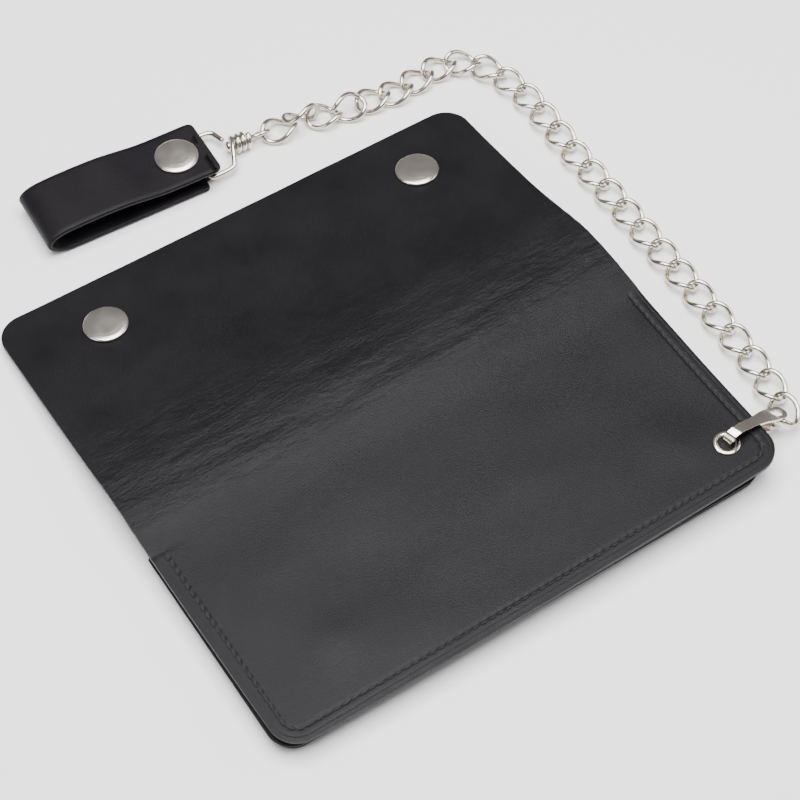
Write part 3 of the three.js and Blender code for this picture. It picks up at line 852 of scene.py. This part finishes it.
def strip_mesh(name, line, width, thickness, material, place, round_start=0.0, round_end=0.0, edge=0.45):
    """A leather strip with rounded edges along a line in X and Z, width along Y."""
    stations = [Vector((x, 0, z)) for x, z in line]
    lengths = [0.0]
    for before, after in zip(stations, stations[1:]):
        lengths.append(lengths[-1] + (after - before).length)
    total = lengths[-1]
    half_width = width / 2
    half_thick = thickness / 2
    steps = 14
    points = []
    faces = []
    for i, centre in enumerate(stations):
        before = stations[max(i - 1, 0)]
        after = stations[min(i + 1, len(stations) - 1)]
        along = (after - before).normalized()
        normal = Vector((-along.z, 0, along.x))
        from_start = lengths[i]
        from_end = total - lengths[i]
        inset = 0.0
        thin = 1.0
        for gap, radius in ((from_start, round_start), (from_end, round_end)):
            if radius and gap < radius:
                inset = max(inset, radius - math.sqrt(max(0.0, radius * radius - (radius - gap) ** 2)))
            if radius and gap < edge:
                thin = min(thin, 0.55 + 0.45 * math.sqrt(1 - (1 - gap / edge) ** 2))
        half_here = half_width - inset
        ring = []
        for k in range(steps + 1):
            y = -half_here + edge + (2 * half_here - 2 * edge) * k / steps
            ring.append((y, half_thick))
        for k in range(1, 6):
            angle = math.pi / 2 - math.pi * k / 6
            ring.append((half_here - edge + edge * math.cos(angle), half_thick * math.sin(angle)))
        for k in range(steps + 1):
            y = half_here - edge - (2 * half_here - 2 * edge) * k / steps
            ring.append((y, -half_thick))
        for k in range(1, 6):
            angle = -math.pi / 2 - math.pi * k / 6
            ring.append((-half_here + edge + edge * math.cos(angle), half_thick * math.sin(angle)))
        profile_size = len(ring)
        for y, out in ring:
            points.append(place @ (centre + normal * out * thin + Vector((0, y, 0))))
    for i in range(len(stations) - 1):
        for k in range(profile_size):
            after = (k + 1) % profile_size
            a = i * profile_size
            b = a + profile_size
            faces.append((a + k, b + k, b + after, a + after))
    faces.append(tuple(range(profile_size)))
    last = (len(stations) - 1) * profile_size
    faces.append(tuple(last + k for k in reversed(range(profile_size))))
    made = mesh_object(name, points, faces, material)
    tidy = bmesh.new()
    tidy.from_mesh(made.data)
    bmesh.ops.recalc_face_normals(tidy, faces=tidy.faces)
    tidy.to_mesh(made.data)
    tidy.free()
    made.data.polygons.foreach_set("use_smooth", [True] * len(made.data.polygons))
    return made


def part_of_strip(whole, name, ring_size, first, last):
    """The stretch of a strip between two stations, shaded as if it were still whole."""
    low, high = first * ring_size, (last + 1) * ring_size
    kept = [v for v in whole.data.vertices if low <= v.index < high]
    faces = []
    for polygon in whole.data.polygons:
        if all(low <= index < high for index in polygon.vertices):
            faces.append([index - low for index in polygon.vertices])
    mesh = bpy.data.meshes.new(name)
    mesh.from_pydata([tuple(v.co) for v in kept], [], faces)
    mesh.materials.append(whole.data.materials[0])
    mesh.polygons.foreach_set("use_smooth", [True] * len(mesh.polygons))
    mesh.normals_split_custom_set_from_vertices([tuple(v.normal) for v in kept])
    part = bpy.data.objects.new(name, mesh)
    bpy.context.scene.collection.objects.link(part)
    return part


def dense(points, per_span=6):
    return [(p.x, p.y) for p in catmull([(x, z, 0) for x, z in points], per_span)]


def end_steps(line, reach=2.6, count=9):
    """Adds close stations near the end of a line so that its corners come out round."""
    (x0, z0), (x1, z1) = line[-2], line[-1]
    whole_span = math.hypot(x1 - x0, z1 - z0)
    out = line[:-1]
    start = max(0.0, whole_span - reach)
    for i in range(count + 1):
        t = (start + (whole_span - start) * math.sin(math.pi / 2 * i / count)) / whole_span
        out.append((x0 + (x1 - x0) * t, z0 + (z1 - z0) * t))
    return out


wrap = 0.9 + 0.2 + HALF_STRAP
tongue_line = [(-16, RETURN_Z), (-10, RETURN_Z), (-4.4, RETURN_Z), (-2.6, RETURN_Z + 0.35)]
for i in range(11):
    angle = math.radians(155 - 24.5 * i)
    tongue_line.append((wrap * math.cos(angle), BAR_Z + wrap * math.sin(angle)))
tongue_line += [(-2, LOWER_Z), (-6, LOWER_Z)]
tongue = strip_mesh("strap_tongue", dense(tongue_line, 4), TONGUE_WIDTH, STRAP_THICKNESS, STRAP, STRAP_END)

fold_line = [(-51.15, LOWER_Z), (-54, LOWER_Z + 0.2), (-57.2, LOWER_Z + 1.3), (-59.4, LOWER_Z + 3.2),
             (-59.9, LOWER_Z + 5.2), (-58.6, LOWER_Z + 7.0), (-55.8, LOWER_Z + 8.2), (-52.3, LOWER_Z + 8.75)]
upper_line = [(-44, LOWER_Z + 9.1), (-32, LOWER_Z + 8.9), (-20, UPPER_Z + 0.4), (-14, UPPER_Z), (-6, UPPER_Z),
              (STRAP_END_X, UPPER_Z)]
base_line = [(-1.2, LOWER_Z), (-9, LOWER_Z), (-20, LOWER_Z), (-35, LOWER_Z), (-45, LOWER_Z)]
whole_line = dense(base_line + fold_line + upper_line, 5)
joint_at = max(i for i, (x, z) in enumerate(whole_line) if x < -54 and z > 4)
base_part = list(reversed(end_steps(list(reversed(whole_line[:joint_at + 1])), 2.0)))
upper_part = end_steps(whole_line[joint_at:], 3.0)
strap_line = base_part + upper_part[1:]
strap_whole = strip_mesh("strap_whole", strap_line, STRAP_WIDTH, STRAP_THICKNESS, STRAP, STRAP_END,
                         round_start=1.5, round_end=2.4)
ring_size = len(strap_whole.data.vertices) // len(strap_line)
strap_base = part_of_strip(strap_whole, "strap_loop", ring_size, 0, len(base_part) - 1)
strap_top = part_of_strip(strap_whole, "strap_flap", ring_size, len(base_part) - 1, len(strap_line) - 1)
bpy.data.objects.remove(strap_whole)
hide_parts("strap_lower", "strap_fold")
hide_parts("strap_lower")
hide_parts("strap_upper")
for piece in (strap_base, tongue):
    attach(piece, "strap")
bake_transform(strap_top)

at_socket = STRAP_END @ Matrix.Translation((STRAP_SNAP_X, 0, SOCKET_Z))
at_stud = STRAP_END @ Matrix.Translation((STRAP_SNAP_X, 0, STUD_Z))
raise_cap = [(r, z + 0.1 if z > 1 else z) for r, z in CAP_UNDER + CAP]
metal_piece("cap_strap", raise_cap, CAP_METAL, at_socket, "strap_top", "strap_cap", 0.12)
metal_piece("socket_strap", SOCKET, NICKEL, at_socket, "strap_top", "strap_socket")
metal_piece("stud_strap", flipped(stud(-0.05)), NICKEL, at_stud, "strap", "strap_stud")
metal_piece("post_strap", flipped(post(STRAP_THICKNESS * 2 + 0.1)), NICKEL, at_stud, "strap", "strap_post")


# ---- table and light ---------------------------------------------------------------------
def add_floor():
    material, nodes, links, shader = new_material("table")
    shader.inputs["Base Color"].default_value = (0.93, 0.93, 0.93, 1)
    shader.inputs["Roughness"].default_value = 0.8
    size = 3000
    floor = mesh_object("table", [(-size, -size, FLOOR), (size, -size, FLOOR), (size, size, FLOOR),
                                  (-size, size, FLOOR)], [(0, 1, 2, 3)], material, smooth=False)


def add_light(name, place, aim, width, height, power):
    data = bpy.data.lights.new(name, "AREA")
    data.shape = "RECTANGLE"
    data.size = width * MM
    data.size_y = height * MM
    data.energy = power
    light = bpy.data.objects.new(name, data)
    bpy.context.scene.collection.objects.link(light)
    light.location = Vector(place) * MM
    light.rotation_euler = (Vector(aim) * MM - light.location).to_track_quat("-Z", "Y").to_euler()


def add_world(strength):
    world = bpy.data.worlds.new("studio")
    world.use_nodes = True
    background = world.node_tree.nodes["Background"]
    background.inputs[0].default_value = (1, 1, 1, 1)
    background.inputs[1].default_value = strength
    bpy.context.scene.world = world


add_floor()
add_world(0.3)
add_light("overhead", (20, 60, 900), (20, 40, 0), 820, 820, 24)
add_light("left", (-900, 100, 500), (0, 40, 0), 500, 500, 3)
add_light("right", (800, -300, 600), (0, 40, 0), 500, 500, 3)
